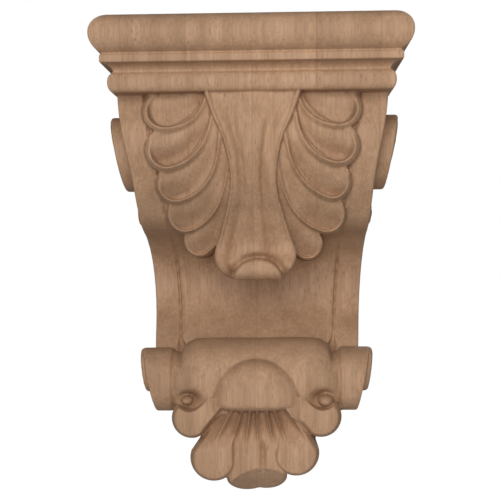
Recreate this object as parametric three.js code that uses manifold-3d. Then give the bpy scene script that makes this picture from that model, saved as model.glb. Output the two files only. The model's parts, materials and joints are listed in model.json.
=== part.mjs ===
// A carved wooden corbel: a moulded cap, an S-shaped tapering body with a hanging acanthus leaf,
// scrolls on both sides, and a scroll roll at the foot with a shell leaf under it.
// Millimetres, +Z up. The back face lies in the plane y = 0 and the front looks along -Y.
// The origin is the centre of the back face. A reach is a distance in front of the back face,
// and a drop is a distance below the underside of the cap.

import * as THREE from "three";
import { mergeVertices } from "three/addons/utils/BufferGeometryUtils.js";
import Module from "manifold-3d";

const wasm = await Module();
wasm.setup();

// Cap moulding, from the top down: bullnose, fillet, cove and bead
const CAP_WIDTH = 202.8;
const CAP_DEPTH = 145;
const BULLNOSE_HEIGHT = 25.8;
const BULLNOSE_ARC = 167;
const FILLET_HEIGHT = 5;
const FILLET_SETBACK = 6.2;
const COVE_HEIGHT = 5.6;
const COVE_SETBACK = 13.9;
const BEAD_HEIGHT = 12.4;
const BEAD_SETBACK = 10.4;
const BULLNOSE_FACETS = 10;
const COVE_FACETS = 4;
const BEAD_FACETS = 6;

// Body: widths at three levels and the S-curve of its front
const NECK_WIDTH = 174;
const SHOULDER_WIDTH = 155;
const SHOULDER_DROP = 60;
const FOOT_WIDTH = 136;
const NECK_REACH = 118;
const BULGE_DROP = 28;
const BULGE_REACH = 126;
const WAIST_DROP = 122;
const WAIST_REACH = 38;
const RAIL_WIDTH = 17;
const PANEL_LIFT = 1.6;
const PANEL_GROOVE_WIDTH = 1.6;
const PANEL_GROOVE_DEPTH = 1.2;
const BODY_LEVELS = 34;
const BODY_INTO_ROLL = 8.5;

// Scroll roll at the foot
const ROLL_DROP = 187;
const ROLL_REACH = 75;
const BARREL_RADIUS = 27.6;
const BARREL_LENGTH = 88;
const BARREL_SHOULDER = 8;
const WINDING_RADIUS = 21.3;
const WINDING_GROOVE = 1.6;
const WINDING_GROOVE_PLACE = 55;
const WINDING_GROOVE_RUN = 5;
const ROLL_LENGTH = 143.2;
const ROLL_EYE_RADIUS = 14.5;
const ROLL_EYE_RISE = 6.1;
const ROLL_EYE_LENGTH = 154;
const ROLL_END_SLANT = 0.2;
const ROLL_EYE_SLANT = 0.14;
const ROLL_FACETS = 20;

// Side scrolls of the upper bulge
const SCROLL_DROP = 35;
const SCROLL_REACH = 78;
const SCROLL_RADIUS = 25;
const SCROLL_STAND = 10;
const SCROLL_EYE_RADIUS = 17.5;
const SCROLL_EYE_STAND = 2.8;
const SCROLL_EYE_RISE = 6.9;
const SCROLL_SLANT = 0.19;
const SCROLL_FACETS = 24;
const SCROLL_CROWN = 1;
const EYE_CROWN = 1.2;
const DRUM_RIM = 0.93;
const DRUM_FACE = 0.6;

// Acanthus leaf
const LOBE_LIFT = 8;
const LOBE_TILT = 2.6;
const LOBE_SCOOP = 3.6;
const LOBE_EDGE = 2.2;
const LOBE_ROOT_HALF = 3.2;
const STEM_CREST = 3.4;
const STEM_GROOVE = 2.6;
const LEAF_TIP_DROP = 120;
const LEAF_TIP_REACH = 107;
const LEAF_END_FALL = 1;
const LIP_RADIUS = 15.5;
const LIP_DEPTH = 22;
const LEAF_SIDESTEP = 0.5;

// Shell leaf under the roll
const DOME_RADIUS = 28.4;
const DOME_DEPTH = 26;
const DOME_FULLNESS = 3;
const DOME_FOOT = 0.33;
const DOME_FACETS = 24;
const DOME_SIDESTEP = 1;
const DOME_DROP = 196.5;
const DOME_REACH = 113;
const SHELL_DROP = 265.5;
const PETAL_HOLLOW = 7;
const PETAL_BULGE = 4;
const TAIL_REACH = 62;

// Sizes that the outlines of the leaf and the shell below were drawn at
const DRAWN_PANEL_HALF = 70;
const DRAWN_LEAF_LENGTH = 120;
const DRAWN_FOOT_WIDTH = 136;
const DRAWN_SHELL_LENGTH = 78.5;

const CAP_HEIGHT = BULLNOSE_HEIGHT + FILLET_HEIGHT + COVE_HEIGHT + BEAD_HEIGHT;
const TOP = (CAP_HEIGHT + SHELL_DROP) / 2;
const NECK = TOP - CAP_HEIGHT;
const LEAF_ACROSS = (NECK_WIDTH / 2 - RAIL_WIDTH) / DRAWN_PANEL_HALF;
const LEAF_DOWN = LEAF_TIP_DROP / DRAWN_LEAF_LENGTH;
const SHELL_ACROSS = FOOT_WIDTH / DRAWN_FOOT_WIDTH;
const SHELL_DOWN = (SHELL_DROP - ROLL_DROP) / DRAWN_SHELL_LENGTH;
const EMBED = 6;
const MERGE_MM = 1e-4;

const wood = new THREE.MeshStandardMaterial({
  name: "carved wood",
  color: 0xa9825f,
  roughness: 0.72,
  metalness: 0,
});

const mix = (a, b, share) => a + (b - a) * share;
const clamp = (value, low, high) => Math.min(high, Math.max(low, value));
const smooth = (value) => {
  const t = clamp(value, 0, 1);
  return t * t * (3 - 2 * t);
};
const steps = (count) => Array.from({ length: count + 1 }, (_, i) => i / count);

// A smooth function through the points [at, value], level beyond both ends.
function through(points) {
  const slope = (i) => {
    const before = points[Math.max(i - 1, 0)];
    const after = points[Math.min(i + 1, points.length - 1)];
    return (after[1] - before[1]) / (after[0] - before[0]);
  };
  return (at) => {
    const x = clamp(at, points[0][0], points[points.length - 1][0]);
    const i = clamp(points.findIndex((point) => point[0] >= x) - 1, 0, points.length - 2);
    const [x0, y0] = points[i];
    const [x1, y1] = points[i + 1];
    const h = x1 - x0;
    const t = (x - x0) / h;
    const bend0 = slope(i) * h * t * (1 - t) * (1 - t);
    const bend1 = slope(i + 1) * h * t * t * (t - 1);
    return mix(y0, y1, t * t * (3 - 2 * t)) + bend0 + bend1;
  };
}

// The solid inside a closed geometry, turned to face out.
function solidOf(geometry) {
  const merged = mergeVertices(geometry, MERGE_MM);
  const corners = merged.index.array;
  const faces = [];
  for (let i = 0; i < corners.length; i += 3) {
    const [a, b, c] = corners.slice(i, i + 3);
    if (a !== b && b !== c && c !== a) faces.push([a, b, c]);
  }
  const build = (list) =>
    new wasm.Manifold(
      new wasm.Mesh({
        numProp: 3,
        vertProperties: new Float32Array(merged.getAttribute("position").array),
        triVerts: new Uint32Array(list.flat()),
      }),
    );
  const made = build(faces);
  return made.volume() > 0 ? made : build(faces.map(([a, b, c]) => [a, c, b]));
}

// A sheet wrapped through rows of points, each row a closed loop of equal length.
function wrap(rows) {
  const columns = rows[0].length;
  const sheet = new THREE.PlaneGeometry(1, 1, columns, rows.length - 1);
  sheet.deleteAttribute("normal");
  sheet.deleteAttribute("uv");
  const points = sheet.getAttribute("position");
  rows.forEach((row, r) => {
    for (let c = 0; c <= columns; c += 1) {
      points.setXYZ(r * (columns + 1) + c, ...row[c % columns]);
    }
  });
  return solidOf(sheet);
}

// A stack of loops, closed at both ends by their middles.
function loft(loops) {
  const middle = (loop) => {
    const sum = loop.reduce((total, point) => total.map((value, i) => value + point[i]), [0, 0, 0]);
    const centre = sum.map((value) => value / loop.length);
    return loop.map(() => centre);
  };
  return wrap([middle(loops[0]), ...loops, middle(loops[loops.length - 1])]);
}

const joined = (solids) => solids.reduce((whole, solid) => whole.add(solid));

// The outer skin of a solid, with any pocket sealed inside it filled.
const filled = (solid) =>
  solid.decompose().reduce((most, piece) => (piece.volume() > most.volume() ? piece : most));

// The S-curve of the front: how far the body reaches at a drop.
const sCurve = (from, to, share, fall) => [
  mix(from[0], to[0], share),
  mix(from[1], to[1], fall),
];
const bulge = [BULGE_DROP, BULGE_REACH];
const waist = [WAIST_DROP, WAIST_REACH];
const rollCentre = [ROLL_DROP, ROLL_REACH];
const reachAt = through([
  [-CAP_HEIGHT, NECK_REACH],
  [0, NECK_REACH],
  bulge,
  sCurve(bulge, waist, 0.3, 0.125),
  sCurve(bulge, waist, 0.51, 0.31),
  sCurve(bulge, waist, 0.6, 0.44),
  sCurve(bulge, waist, 0.69, 0.72),
  sCurve(bulge, waist, 0.82, 0.92),
  waist,
  sCurve(waist, rollCentre, 0.3, 0.17),
  sCurve(waist, rollCentre, 0.66, 0.72),
  rollCentre,
]);

// Half the body's width at a drop: a straight taper with a flare under the cap.
function halfWidthAt(drop) {
  const taper = (SHOULDER_WIDTH - FOOT_WIDTH) / (ROLL_DROP - SHOULDER_DROP);
  const straight = FOOT_WIDTH + taper * (ROLL_DROP - drop);
  const flare = NECK_WIDTH - (FOOT_WIDTH + taper * ROLL_DROP);
  return (straight + flare * smooth((SHOULDER_DROP - drop) / SHOULDER_DROP)) / 2;
}

// Cap: one moulding run round the front and both sides, square at the back
function cap() {
  const radius = BULLNOSE_HEIGHT / 2;
  const nose = steps(BULLNOSE_FACETS).map((t) => {
    const angle = THREE.MathUtils.degToRad(90 - BULLNOSE_ARC * t);
    return [radius - radius * Math.cos(angle), radius - radius * Math.sin(angle)];
  });
  const filletEnd = BULLNOSE_HEIGHT + FILLET_HEIGHT;
  const cove = steps(COVE_FACETS).map((t) => {
    const angle = (t * Math.PI) / 2;
    const inward = (COVE_SETBACK - FILLET_SETBACK) * Math.sin(angle);
    return [FILLET_SETBACK + inward, filletEnd + COVE_HEIGHT * (1 - Math.cos(angle))];
  });
  const beadTop = filletEnd + COVE_HEIGHT;
  const bead = steps(BEAD_FACETS).map((t) => {
    const out = (COVE_SETBACK - BEAD_SETBACK) * Math.sin(t * Math.PI);
    return [COVE_SETBACK - out, beadTop + (BEAD_HEIGHT * (1 - Math.cos(t * Math.PI))) / 2];
  });
  const profile = [...nose, [FILLET_SETBACK, BULLNOSE_HEIGHT], ...cove, ...bead.slice(1)];
  return loft(
    profile.map(([setback, down]) => {
      const side = CAP_WIDTH / 2 - setback;
      const front = setback - CAP_DEPTH;
      const z = TOP - down;
      return [
        [-side, 0, z],
        [-side, front, z],
        [side, front, z],
        [side, 0, z],
      ];
    }),
  );
}

// Body: rails, a groove beside each and the raised panel between them
function body() {
  const section = (drop) => {
    const half = halfWidthAt(drop);
    const reach = reachAt(drop);
    const inner = half - RAIL_WIDTH;
    const side = [
      [half, 0],
      [half, reach],
      [inner, reach],
      [inner - PANEL_GROOVE_WIDTH / 2, reach - PANEL_GROOVE_DEPTH],
      [inner - PANEL_GROOVE_WIDTH, reach + PANEL_LIFT],
    ];
    const left = side.map(([x, out]) => [-x, -out, NECK - drop]);
    const right = side.map(([x, out]) => [x, -out, NECK - drop]).reverse();
    return [...left, ...right];
  };
  const top = -BEAD_HEIGHT / 2;
  const foot = ROLL_DROP + BODY_INTO_ROLL;
  return loft(steps(BODY_LEVELS).map((t) => section(mix(top, foot, t))));
}

// Tail: the plain back of the shell, narrowing to its lowest lobe.
// Each level has its share of the tail's length, of the foot's half width and of its reach.
const TAIL_LEVELS = [
  [0, 0.99, 1],
  [0.24, 0.91, 1],
  [0.36, 0.8, 1],
  [0.52, 0.63, 1],
  [0.72, 0.56, 0.9],
  [0.86, 0.43, 0.8],
  [0.96, 0.24, 0.66],
  [1, 0.1, 0.6],
];
const TAIL_BEVEL = 0.7;
const TAIL_FACETS = 12;
const TAIL_SHORTFALL = 4;

function tail() {
  const halfAt = through(TAIL_LEVELS.map(([at, half]) => [at, (half * FOOT_WIDTH) / 2]));
  const frontAt = through(TAIL_LEVELS.map(([at, , reach]) => [at, reach * TAIL_REACH]));
  const corners = [
    [-1, 0],
    [-1, TAIL_BEVEL],
    [-TAIL_BEVEL, 1],
    [TAIL_BEVEL, 1],
    [1, TAIL_BEVEL],
    [1, 0],
  ];
  return loft(
    steps(TAIL_FACETS).map((t) => {
      const drop = mix(ROLL_DROP, SHELL_DROP - TAIL_SHORTFALL, t);
      return corners.map(([x, out]) => [x * halfAt(t), -out * frontAt(t), NECK - drop]);
    }),
  );
}

// A short drum with its axis along X, from the inside of the body to a slanted end.
function drum({ side, drop, reach, radius, from, to, slant, crown, sides }) {
  const ring = (x, size, lean) =>
    steps(sides)
      .slice(0, sides)
      .map((t) => {
        const angle = t * Math.PI * 2;
        const up = radius * size * Math.cos(angle);
        const out = radius * size * Math.sin(angle);
        return [side * (x + lean * up), -(reach + out), NECK - drop + up];
      });
  return loft([
    ring(from, 1, 0),
    ring(to - crown, 1, slant),
    ring(to, DRUM_RIM, slant),
    ring(to - crown / 2, DRUM_FACE, slant),
  ]);
}

// Roll: a swollen barrel between two windings, turned about one axis, with an eye at each end
function roll() {
  const radiusAt = through([
    [0, BARREL_RADIUS],
    [(BARREL_LENGTH - BARREL_SHOULDER) / 2, BARREL_RADIUS],
    [(BARREL_LENGTH + BARREL_SHOULDER) / 2, mix(BARREL_RADIUS, WINDING_RADIUS, 0.6)],
    [WINDING_GROOVE_PLACE, WINDING_RADIUS - WINDING_GROOVE],
    [WINDING_GROOVE_PLACE + WINDING_GROOVE_RUN, WINDING_RADIUS],
    [ROLL_LENGTH / 2, WINDING_RADIUS],
  ]);
  const stations = [0, 0.5, 0.62, 0.68, 0.73, 0.78, 0.84, 1];
  const across = [...stations.slice(1).reverse().map((share) => -share), ...stations];
  const core = loft(
    across.map((share) => {
      const x = (share * ROLL_LENGTH) / 2;
      const radius = radiusAt(Math.abs(x));
      const lean = Math.abs(share) === 1 ? ROLL_END_SLANT * share : 0;
      return steps(ROLL_FACETS)
        .slice(0, ROLL_FACETS)
        .map((t) => {
          const up = radius * Math.cos(t * Math.PI * 2);
          const out = radius * Math.sin(t * Math.PI * 2);
          return [x + lean * up, -(ROLL_REACH + out), NECK - ROLL_DROP + up];
        });
    }),
  );
  const eye = (side) =>
    drum({
      side,
      drop: ROLL_DROP - ROLL_EYE_RISE,
      reach: ROLL_REACH,
      radius: ROLL_EYE_RADIUS,
      from: ROLL_LENGTH / 2 - EMBED,
      to: ROLL_EYE_LENGTH / 2,
      slant: ROLL_EYE_SLANT,
      crown: EYE_CROWN,
      sides: ROLL_FACETS,
    });
  return joined([core, eye(-1), eye(1)]);
}

// Side scroll of the upper bulge: a wide winding with a raised eye high in it
function sideScroll(side) {
  const face = halfWidthAt(SCROLL_DROP);
  const shared = { side, reach: SCROLL_REACH, from: face - EMBED, slant: SCROLL_SLANT };
  const winding = drum({
    ...shared,
    drop: SCROLL_DROP,
    radius: SCROLL_RADIUS,
    to: face + SCROLL_STAND,
    crown: SCROLL_CROWN,
    sides: SCROLL_FACETS,
  });
  const eye = drum({
    ...shared,
    drop: SCROLL_DROP - SCROLL_EYE_RISE,
    radius: SCROLL_EYE_RADIUS,
    to: face + SCROLL_STAND + SCROLL_EYE_STAND,
    crown: EYE_CROWN,
    sides: ROLL_FACETS,
  });
  return winding.add(eye);
}

// The outline of a tongue: down one side from its root, round its tip and back up the other.
// Each point has its place on the spine, how far along that is, and which side it lies on,
// from -1 on the upper side to 1 on the lower.
function tongue({ root, bend, tip, tipRadius, rootHalf, low, swell }, along, round) {
  const point = (s) => {
    const at = [0, 1].map(
      (i) => (1 - s) * (1 - s) * root[i] + 2 * s * (1 - s) * bend[i] + s * s * tip[i],
    );
    const run = [0, 1].map((i) => (1 - s) * (bend[i] - root[i]) + s * (tip[i] - bend[i]));
    const length = Math.hypot(...run);
    return { at, dir: run.map((value) => value / length) };
  };
  const edge = (s, angle) => {
    const { at, dir } = point(s);
    const across = [-dir[1] * low, dir[0] * low];
    const half = mix(rootHalf, tipRadius, swell(s));
    const turn = [0, 1].map((i) => Math.cos(angle) * across[i] + Math.sin(angle) * dir[i]);
    return { spine: at, edge: at.map((v, i) => v + half * turn[i]), s, side: Math.cos(angle) };
  };
  const straight = steps(along);
  return [
    ...straight.map((s) => edge(s, 0)),
    ...steps(round)
      .slice(1, round)
      .map((t) => edge(1, t * Math.PI)),
    ...straight.map((s) => edge(s, Math.PI)).reverse(),
  ];
}

// A carved tongue standing on the body. top(point, share) gives the reach of its surface,
// where share runs from 0 on the spine to 1 on the outline, and bottom that of its back, which is
// the outline drawn in by taper.
function carvedTongue(outline, shares, top, bottom, taper = 1) {
  const row = (share, reach) =>
    outline.map((point) => {
      const x = mix(point.spine[0], point.edge[0], share);
      const drop = mix(point.spine[1], point.edge[1], share);
      return [x, -reach(point, share, drop), NECK - drop];
    });
  return wrap([...shares.map((share) => row(share, top)), row(taper, bottom), row(0, bottom)]);
}

// The leaf keeps a gentler fall than the body below its fourth lobes, so its end hangs free.
const LEAF_LEAVES_BODY = 0.52;
const leafReachAt = (drop) => {
  const start = mix(BULGE_DROP, WAIST_DROP, LEAF_LEAVES_BODY);
  return drop < start ? reachAt(drop) : reachAt(start) - (drop - start) * LEAF_END_FALL;
};

// Acanthus lobes: [root x, root drop, bend x, bend drop, tip x, tip drop, tip radius]
const LEFT_LOBES = [
  [-31, -8, -36, 11, -54.6, 10.5, 15.4],
  [-26, 2, -32, 32, -54.1, 36.5, 14],
  [-22, 14, -26, 53, -49.8, 58, 12.6],
  [-16, 28, -23.8, 71, -45.4, 77, 11.9],
  [-15, 50, -23.4, 86, -37.6, 95.5, 10.2],
];
const RIGHT_LOBES = [
  [30.5, -8, 36, 9.5, 54.8, 10, 15],
  [28.5, 2, 34.5, 30.5, 54.2, 34.5, 13.8],
  [22.6, 13, 27, 48, 50.8, 57, 12.4],
  [17.2, 28, 24.2, 71, 47.8, 77.6, 12.3],
  [16.2, 50, 23.4, 87, 35.4, 97, 10.2],
];
const LOBE_SECTION = [
  { share: 0, scoop: 0.9, drop: 0 },
  { share: 0.5, scoop: 1, drop: 0 },
  { share: 0.8, scoop: 0.7, drop: 0 },
  { share: 0.9, scoop: 0, drop: 0 },
  { share: 1, scoop: 0, drop: 1 },
];

function lobe([rootX, rootDrop, bendX, bendDrop, tipX, tipDrop, tipRadius], low) {
  const placed = (x, drop) => [x * LEAF_ACROSS, drop * LEAF_DOWN];
  const outline = tongue(
    {
      root: placed(rootX, rootDrop),
      bend: placed(bendX, bendDrop),
      tip: placed(tipX, tipDrop),
      tipRadius: tipRadius * LEAF_DOWN,
      rootHalf: LOBE_ROOT_HALF,
      low,
      swell: (s) => Math.sin((s * Math.PI) / 2),
    },
    7,
    7,
  );
  const section = new Map(LOBE_SECTION.map((level) => [level.share, level]));
  const top = (point, share, drop) => {
    const level = section.get(share);
    const side = point.side * share;
    const scoop = LOBE_SCOOP * level.scoop * (0.8 + 0.3 * side) * smooth(point.s * 1.6);
    return leafReachAt(drop) + LOBE_LIFT + LOBE_TILT * side - scoop - LOBE_EDGE * level.drop;
  };
  const bottom = (point, share, drop) => reachAt(drop) - EMBED;
  return carvedTongue(outline, [...section.keys()], top, bottom);
}

// Bed: the leaf's own ground, which joins the roots of the lobes to the stem.
// Its levels hold a drop and half the width there.
const BED_LEVELS = [
  [-6, 42],
  [12, 41],
  [30, 40],
  [48, 38],
  [62, 35],
  [74, 32],
  [84, 29],
  [92, 26],
  [98, 22],
];

function bed() {
  return loft(
    BED_LEVELS.map(([level, width]) => {
      const drop = level * LEAF_DOWN;
      const half = width * LEAF_ACROSS;
      const front = -(leafReachAt(drop) + LOBE_LIFT - LOBE_SCOOP);
      const back = EMBED - reachAt(drop);
      return [
        [-half, back, NECK - drop],
        [-half, front + LOBE_EDGE, NECK - drop],
        [-half + LOBE_EDGE, front, NECK - drop],
        [half - LOBE_EDGE, front, NECK - drop],
        [half, front + LOBE_EDGE, NECK - drop],
        [half, back, NECK - drop],
      ];
    }),
  );
}

// Stem: an hourglass with a raised rim on each side, a groove inside each and a round rib between,
// ending in two ears. Its levels hold a drop and half the width there.
const STEM_LEVELS = [
  [-6, 33],
  [6, 29],
  [18, 24.3],
  [30, 19],
  [42, 16],
  [54, 14.8],
  [66, 16],
  [76, 18.7],
  [86, 21.9],
  [95, 25.2],
  [102, 27],
  [107, 26.6],
  [111, 25],
  [114.5, 21.9],
  [117.5, 18],
  [119.3, 13],
  [120, 10],
];
const STEM_LIFT = 10;
const STEM_DIP = 9;
const EAR_DROP = 92;
const EAR_FLARE = 1.3;
const STEM_BACK = 0.9;

const stemReachAt = through([
  [-CAP_HEIGHT, NECK_REACH + STEM_LIFT],
  [0, NECK_REACH + STEM_LIFT + 2],
  [BULGE_DROP, BULGE_REACH + STEM_LIFT],
  [BULGE_DROP * 2, reachAt(BULGE_DROP * 2) + STEM_LIFT + 2],
  [LEAF_TIP_DROP * 0.67, LEAF_TIP_REACH + 1],
  [LEAF_TIP_DROP * 0.79, LEAF_TIP_REACH - STEM_DIP],
  [LEAF_TIP_DROP * 0.93, LEAF_TIP_REACH - STEM_DIP + 1],
  [LEAF_TIP_DROP * 0.975, LEAF_TIP_REACH - STEM_DIP - 2],
  [LEAF_TIP_DROP, LEAF_TIP_REACH - STEM_DIP * 2],
]);

function stem() {
  const liftAcross = [
    [0, 0],
    [0.25, -0.4],
    [0.48, -STEM_GROOVE],
    [0.78, 0.6],
    [0.92, STEM_CREST],
    [1, -1],
  ];
  const halves = liftAcross.slice(1);
  const across = [...halves.map(([at, lift]) => [-at, lift]).reverse(), ...liftAcross];
  return loft(
    STEM_LEVELS.map(([level, width]) => {
      const drop = level * LEAF_DOWN;
      const half = width * LEAF_ACROSS;
      const reach = stemReachAt(drop);
      const undercut = smooth((drop - EAR_DROP) / (LEAF_TIP_DROP - EAR_DROP));
      const behind = Math.min(reachAt(drop), reach) - EMBED;
      const back = mix(behind, Math.max(behind, LEAF_TIP_REACH - LIP_DEPTH), undercut);
      const flare = 1 + EAR_FLARE * undercut;
      const at = (share, out) => [share * half + LEAF_SIDESTEP, -out, NECK - drop];
      return [
        ...across.map(([share, lift]) => at(share, reach + flare * lift)),
        at(STEM_BACK, back),
        at(-STEM_BACK, back),
      ];
    }),
  );
}

// Lip: the rolled-over end of the leaf, a crowned half disc between the two ears.
// Its layers hold a share of its outline and how far that lies behind the leaf's tip.
const LIP_RISE = 0.5;
const LIP_ROLL = 4;
const LIP_ROLL_DEPTH = 6;
const LIP_FACETS = 12;
const LIP_LAYERS = [
  [1, LIP_DEPTH],
  [1, 5],
  [0.96, 2.4],
  [0.86, 0.6],
  [0.6, 0],
  [0.3, 0.2],
];

function lip() {
  const foot = LEAF_TIP_DROP - LIP_RISE;
  const arch = steps(LIP_FACETS).map((t) => {
    const angle = t * Math.PI;
    return [LIP_RADIUS * Math.cos(angle), LIP_RADIUS * Math.sin(angle)];
  });
  return loft(
    LIP_LAYERS.map(([size, behind]) =>
      arch.map(([x, up]) => {
        const face = smooth(2 - behind / LIP_ROLL_DEPTH);
        const rolled = LIP_ROLL * smooth(1 - (size * up) / LIP_RADIUS) * face;
        const out = LEAF_TIP_REACH - behind - rolled;
        return [LEAF_SIDESTEP + size * x, -out, NECK - foot + size * up];
      }),
    ),
  );
}

// Dome: the round head of the shell, full in the middle and square to the roll at its edge
function dome() {
  const back = DOME_REACH - DOME_DEPTH;
  return loft(
    [0, 0.3, 0.55, 0.75, 0.9, 0.98].map((share) => {
      const size = DOME_RADIUS * (1 - share ** DOME_FULLNESS) ** (1 / DOME_FULLNESS);
      return steps(DOME_FACETS)
        .slice(0, DOME_FACETS)
        .map((t) => {
          const angle = t * Math.PI * 2;
          const up = size * Math.cos(angle);
          const z = NECK - DOME_DROP + (up > 0 ? up : up * DOME_FOOT);
          return [DOME_SIDESTEP + size * Math.sin(angle), -(back + DOME_DEPTH * share), z];
        });
    }),
  );
}

// Shell petals, side by side round the dome, with drops below the roll's centre:
// [root x, root drop, root half width, bend x, bend drop, tip x, tip drop, tip radius, tip reach]
const PETALS = [
  [-16.6, 12, 9, -30.6, 16, -42.6, 23.5, 13.7, 99],
  [-11.6, 13, 8, -18.6, 29, -28.6, 51, 15.8, 93],
  [-3.6, 14, 9, -5.6, 35, -5.1, 62.7, 15.6, 86],
  [6.4, 14, 9, 9, 35, 5.4, 62.7, 15.2, 86],
  [12.7, 13, 8, 17.8, 29, 26.2, 48, 15.5, 93],
  [17.4, 12, 9, 30.4, 15.5, 42.7, 22.7, 14, 99],
];
const PETAL_TURNDOWN = 22;
const PETAL_UNDERCUT = 16;
const PETAL_SINK = 12;
const PETAL_BACK = 34;
const PETAL_TAPER = 0.88;
const PETAL_SECTION = [
  { share: 0, hollow: 1, bulge: 1, drop: 0 },
  { share: 0.45, hollow: 0.75, bulge: 0.8, drop: 0 },
  { share: 0.75, hollow: 0.2, bulge: 0.3, drop: 0 },
  { share: 0.93, hollow: 0, bulge: 0, drop: 2 },
  { share: 1, hollow: 0, bulge: 0, drop: 9 },
];

function petal(sizes) {
  const [rootX, rootDrop, rootHalf, bendX, bendDrop, tipX, tipDrop, tipRadius, tipReach] = sizes;
  const placed = (x, drop) => [x * SHELL_ACROSS, ROLL_DROP + drop * SHELL_DOWN];
  const outline = tongue(
    {
      root: placed(rootX, rootDrop),
      bend: placed(bendX, bendDrop),
      tip: placed(tipX, tipDrop),
      tipRadius: tipRadius * SHELL_DOWN,
      rootHalf,
      low: 1,
      swell: (s) => Math.sin((s * Math.PI) / 2),
    },
    6,
    8,
  );
  const section = new Map(PETAL_SECTION.map((level) => [level.share, level]));
  const top = (point, share, drop) => {
    const level = section.get(share);
    const s = point.s;
    const spine = mix(DOME_REACH - PETAL_SINK, tipReach, smooth(s * 1.3));
    const hollow = PETAL_HOLLOW * level.hollow * smooth(s * 4) * smooth((1 - s) * 1.8);
    const full = PETAL_BULGE * level.bulge * smooth((s - 0.4) * 1.8);
    const turned = smooth((drop - SHELL_DROP) / PETAL_TURNDOWN + 1);
    const under = PETAL_UNDERCUT * turned;
    return spine - hollow + full - level.drop * smooth((s - 0.2) * 1.6) - under;
  };
  const bottom = () => PETAL_BACK;
  return carvedTongue(outline, [...section.keys()], top, bottom, PETAL_TAPER);
}

const corbel = filled(joined([
  cap(),
  body(),
  tail(),
  roll(),
  sideScroll(-1),
  sideScroll(1),
  ...LEFT_LOBES.map((sizes) => lobe(sizes, -1)),
  ...RIGHT_LOBES.map((sizes) => lobe(sizes, 1)),
  bed(),
  stem(),
  lip(),
  dome(),
  ...PETALS.map(petal),
]));

// A named mesh that shows a solid
function meshOf(name, solid) {
  const { vertProperties, triVerts } = solid.getMesh();
  const geometry = new THREE.BufferGeometry();
  geometry.setAttribute("position", new THREE.BufferAttribute(vertProperties, 3));
  geometry.setIndex(new THREE.BufferAttribute(triVerts, 1));
  const mesh = new THREE.Mesh(geometry, wood);
  mesh.name = name;
  return mesh;
}

const group = new THREE.Group();
group.add(meshOf("corbel", corbel));

export default group;
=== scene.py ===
"""Carved wooden corbel bracket: one solid of bare wood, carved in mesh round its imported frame.

Outlines are written in millimetres, as a carver would lay them out on the blank: a reach is a
distance in front of the flat back, and a drop is a distance below the underside of the cap.
"""

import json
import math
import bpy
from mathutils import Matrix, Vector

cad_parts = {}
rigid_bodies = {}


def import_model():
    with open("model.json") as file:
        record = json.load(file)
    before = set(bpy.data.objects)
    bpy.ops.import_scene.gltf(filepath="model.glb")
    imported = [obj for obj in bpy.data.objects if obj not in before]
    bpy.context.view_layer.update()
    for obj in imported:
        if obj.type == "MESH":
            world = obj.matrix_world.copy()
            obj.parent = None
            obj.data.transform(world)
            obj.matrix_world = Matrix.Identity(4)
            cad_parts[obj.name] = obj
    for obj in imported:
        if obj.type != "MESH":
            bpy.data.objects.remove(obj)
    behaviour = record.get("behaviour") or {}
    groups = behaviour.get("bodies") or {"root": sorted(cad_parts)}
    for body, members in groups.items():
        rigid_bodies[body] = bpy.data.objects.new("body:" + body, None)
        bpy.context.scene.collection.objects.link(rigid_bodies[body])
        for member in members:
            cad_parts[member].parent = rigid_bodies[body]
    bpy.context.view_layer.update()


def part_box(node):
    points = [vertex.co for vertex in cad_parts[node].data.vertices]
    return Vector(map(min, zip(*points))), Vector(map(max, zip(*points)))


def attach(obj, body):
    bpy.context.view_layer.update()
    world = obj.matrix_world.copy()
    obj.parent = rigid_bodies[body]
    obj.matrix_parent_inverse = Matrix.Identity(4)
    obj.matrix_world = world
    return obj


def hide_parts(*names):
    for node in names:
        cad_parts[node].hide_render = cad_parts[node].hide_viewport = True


bl_info = {
    "name": "Carved Corbel",
    "version": (1, 0, 0),
    "blender": (4, 5, 0),
    "location": "View3D > Sidebar > Corbel",
    "description": "Carves a wooden corbel bracket with an acanthus leaf, scrolls and a shell",
    "category": "Object",
}

import bmesh
import bpy
import numpy as np
from bpy.props import FloatProperty, FloatVectorProperty, IntProperty, PointerProperty
from mathutils import Matrix, Vector

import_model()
NODE = "corbel"
LOW, HIGH = (Vector(corner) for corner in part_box(NODE))

MM = 0.001
MERGE = 0.002 * MM
TURN = 2 * math.pi


def length(name, description, default):
    """A size in metres, shown with its unit in the sidebar."""
    return FloatProperty(
        name=name, description=description, default=default, min=0, unit="LENGTH", precision=4
    )


def swatch(name, description, default):
    """A colour, shown as a swatch."""
    return FloatVectorProperty(
        name=name, description=description, subtype="COLOR", default=default, min=0, max=1
    )


def power(name, description, default):
    """A lamp's power in watts."""
    return FloatProperty(name=name, description=description, default=default, min=0, unit="POWER")


def level(name, description, default):
    """A share from 0 to 1."""
    return FloatProperty(name=name, description=description, default=default, min=0, max=1)


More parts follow.
